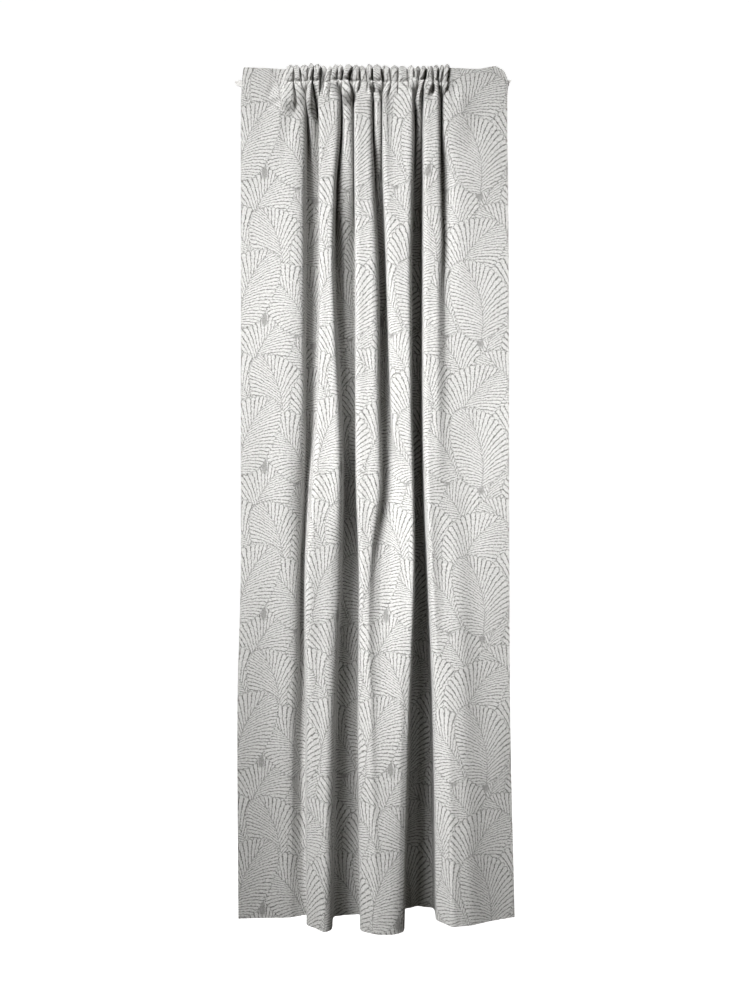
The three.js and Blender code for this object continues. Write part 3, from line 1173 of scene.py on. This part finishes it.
def tape_material(colours):
    """A woven cotton tape with close ribs along it."""
    material, wire = new_material("heading_tape")
    place = flat_place(wire)
    ribs = place.bands("Y", 0.28, 0.3)
    weft = place.bands("X", 0.4, 0.5)
    slub = place.noise(0.3, 2.0)
    colour = slub.tint(darker(colours.tape, 0.85), tuple(colours.tape))
    height = ribs * 0.6 + weft * 0.3
    finish_cloth(wire, colour, slub.scaled(0.1, 0.78), height, 0.4 * MM, 0.1)
    return material


# ---------------------------------------------------------------- operators


class CURTAIN_OT_add_cloth(bpy.types.Operator):
    """Make the lined cloth, gathered at the heading and hanging in its folds"""

    bl_idname = "curtain.add_cloth"
    bl_label = "Add Cloth"

    def execute(self, context):
        sizes, colours = context.scene.curtain_cloth, context.scene.curtain_colours
        columns, rows = cloth_columns(), cloth_rows()
        middle = cloth_middle(columns, rows, sizes.unevenness)
        back = back_directions(middle) * (sizes.thickness / MM / 2)
        up = (DROP - rows) * MM
        mesh = sheet_mesh("curtain", middle - back, middle + back, columns * MM, up, HEADING_ROWS)
        materials = (leaf_cloth_material(colours), lining_material(colours))
        cloth = add_piece("lined_curtain", mesh, materials, "curtain_cloth")
        return {"FINISHED"}


class CURTAIN_OT_add_tape(bpy.types.Operator):
    """Sew the heading tape behind the gather line"""

    bl_idname = "curtain.add_tape"
    bl_label = "Add Heading Tape"

    def execute(self, context):
        sizes, colours = context.scene.curtain_cloth, context.scene.curtain_colours
        columns, drops = cloth_columns(), cloth_rows()[:HEADING_ROWS]
        middle = cloth_middle(columns, drops, sizes.unevenness)
        behind = back_directions(middle)
        levels = np.linspace(TAPE_TOP_DROP, TAPE_BOTTOM_DROP, TAPE_ROWS)

        def at_levels(grid):
            place = np.interp(levels, drops, np.arange(len(drops)))
            row = place.astype(int)
            share = (place - row)[:, None, None]
            return grid[row] * (1 - share) + grid[row + 1] * share

        centre, away = at_levels(middle), unit(at_levels(behind))
        clear = sizes.thickness / MM / 2 + SEWN_GAP
        thick = sizes.tape_thickness / MM
        front, back = with_ears(centre + away * clear), with_ears(centre + away * (clear + thick))
        left = [-ear.out for ear in reversed(LEFT_EAR)]
        right = [FLAT_WIDTH + ear.out for ear in RIGHT_EAR]
        across = np.concatenate([left, columns, right]) * MM
        mesh = sheet_mesh("tape", front, back, across, -levels * MM)
        materials = (tape_material(colours),) * 2
        tape = add_piece("heading_tape_sewn", mesh, materials, "heading_tape")
        return {"FINISHED"}


def with_ears(grid):
    """The tape's grid with its two loose ends, which show past the cloth's sides."""
    share = np.linspace(0.0, 1.0, len(grid))

    def column(ear, beside, side):
        made = beside.copy()
        made[:, 0] = beside[0, 0] + side * ear.out
        made[:, 2] = -(ear.top + (ear.bottom - ear.top) * share)
        return made[:, None]

    left = [column(ear, grid[:, 0], -1.0) for ear in reversed(LEFT_EAR)]
    right = [column(ear, grid[:, -1], 1.0) for ear in RIGHT_EAR]
    return np.concatenate([*left, grid, *right], axis=1)


class CURTAIN_OT_add_studio(bpy.types.Operator):
    """Set the camera, the soft lights and the pale floor that curves up into a round wall"""

    bl_idname = "curtain.add_studio"
    bl_label = "Add Studio"

    def execute(self, context):
        scene = context.scene
        studio = scene.curtain_studio
        camera = bpy.data.objects.new("camera", bpy.data.cameras.new("camera"))
        camera.location = (0.0, -studio.distance, CAMERA_HEIGHT)
        camera.rotation_euler = (math.radians(90.0), 0.0, 0.0)
        camera.data.sensor_width = SENSOR_WIDTH
        camera.data.lens = SENSOR_WIDTH * studio.distance / SEEN_HEIGHT
        scene.collection.objects.link(camera)
        scene.camera = camera
        add_light("key_light", *KEY_LIGHT, studio.key_power)
        add_light("back_light", *BACK_LIGHT, studio.back_power)
        world = bpy.data.worlds.new("soft_sky")
        world.use_nodes = True
        background = world.node_tree.nodes["Background"]
        background.inputs["Color"].default_value = WARM_SKY
        background.inputs["Strength"].default_value = studio.sky
        scene.world = world
        scene.view_settings.view_transform = "Standard"
        add_backdrop()
        return {"FINISHED"}


def add_light(name, place, target, power):
    """A wide soft light that points at its target."""
    light = bpy.data.objects.new(name, bpy.data.lights.new(name, "AREA"))
    light.data.shape = "RECTANGLE"
    light.data.size = LIGHT_WIDTH
    light.data.size_y = LIGHT_HEIGHT
    light.data.spread = LIGHT_SPREAD
    light.data.energy = power
    light.location = place
    aim = Vector(target) - Vector(place)
    light.rotation_euler = aim.to_track_quat("-Z", "Y").to_euler()
    bpy.context.scene.collection.objects.link(light)


def add_backdrop():
    """A round pale floor that curves up into a wall, all the way round the curtain."""
    floor_rings = (BACKDROP_RADIUS / 2, BACKDROP_RADIUS - BACKDROP_CURVE)
    profile = [(out, FLOOR_HEIGHT) for out in floor_rings]
    for step in range(1, BACKDROP_STEPS + 1):
        angle = math.radians(90.0 * step / BACKDROP_STEPS)
        out = BACKDROP_RADIUS - BACKDROP_CURVE * (1 - math.sin(angle))
        profile.append((out, FLOOR_HEIGHT + BACKDROP_CURVE * (1 - math.cos(angle))))
    profile.append((BACKDROP_RADIUS, BACKDROP_TOP))
    turns = [2.0 * math.pi * side / BACKDROP_SIDES for side in range(BACKDROP_SIDES)]
    points = [(0.0, 0.0, FLOOR_HEIGHT)]
    for out, up in profile:
        points += [(out * math.cos(turn), out * math.sin(turn), up) for turn in turns]
    faces = []
    for side in range(BACKDROP_SIDES):
        here, following = 1 + side, 1 + (side + 1) % BACKDROP_SIDES
        faces.append((0, here, following))
        for ring in range(len(profile) - 1):
            inner, outer = ring * BACKDROP_SIDES, (ring + 1) * BACKDROP_SIDES
            faces.append((here + inner, here + outer, following + outer, following + inner))
    mesh = bpy.data.meshes.new("pale_floor")
    mesh.from_pydata(points, [], faces)
    mesh.polygons.foreach_set("use_smooth", np.ones(len(faces), bool))
    floor = bpy.data.objects.new("pale_floor", mesh)
    bpy.context.scene.collection.objects.link(floor)
    material, wire = new_material("pale_floor")
    grain = wire.node("TexNoise", None, {"Scale": 40.0, "Detail": 2.0})
    shader = wire.node(
        "BsdfPrincipled",
        None,
        {
            "Base Color": (0.45, 0.45, 0.448, 1.0),
            "Roughness": grain.scaled(0.1, 0.85),
            "Emission Color": (1.0, 1.0, 1.0, 1.0),
            "Emission Strength": 1.0,
        },
    )
    end_material(wire, shader)
    mesh.materials.append(material)
    floor.visible_diffuse = False
    floor.visible_glossy = False


class CURTAIN_PT_panel(bpy.types.Panel):
    """The curtain's pieces and settings"""

    bl_idname = "CURTAIN_PT_panel"
    bl_label = "Gathered Curtain"
    bl_space_type = "VIEW_3D"
    bl_region_type = "UI"
    bl_category = "Curtain"

    def draw(self, context):
        for group_name in GROUPS:
            group = getattr(context.scene, group_name)
            for name in group.__annotations__:
                self.layout.prop(group, name)
        for operator in OPERATORS:
            self.layout.operator(operator.bl_idname)


OPERATORS = (CURTAIN_OT_add_cloth, CURTAIN_OT_add_tape, CURTAIN_OT_add_studio)
GROUPS = {
    "curtain_cloth": CurtainCloth,
    "curtain_colours": CurtainColours,
    "curtain_studio": CurtainStudio,
}


def register():
    for cls in (*GROUPS.values(), *OPERATORS, CURTAIN_PT_panel):
        bpy.utils.register_class(cls)
    for name, group in GROUPS.items():
        setattr(bpy.types.Scene, name, PointerProperty(type=group))


def unregister():
    for name in GROUPS:
        delattr(bpy.types.Scene, name)
    for cls in (CURTAIN_PT_panel, *reversed(OPERATORS), *reversed(GROUPS.values())):
        bpy.utils.unregister_class(cls)


def main():
    """Builds the curtain and its studio."""
    register()
    bpy.ops.curtain.add_cloth()
    bpy.ops.curtain.add_tape()
    bpy.ops.curtain.add_studio()


if __name__ == "__main__":
    main()
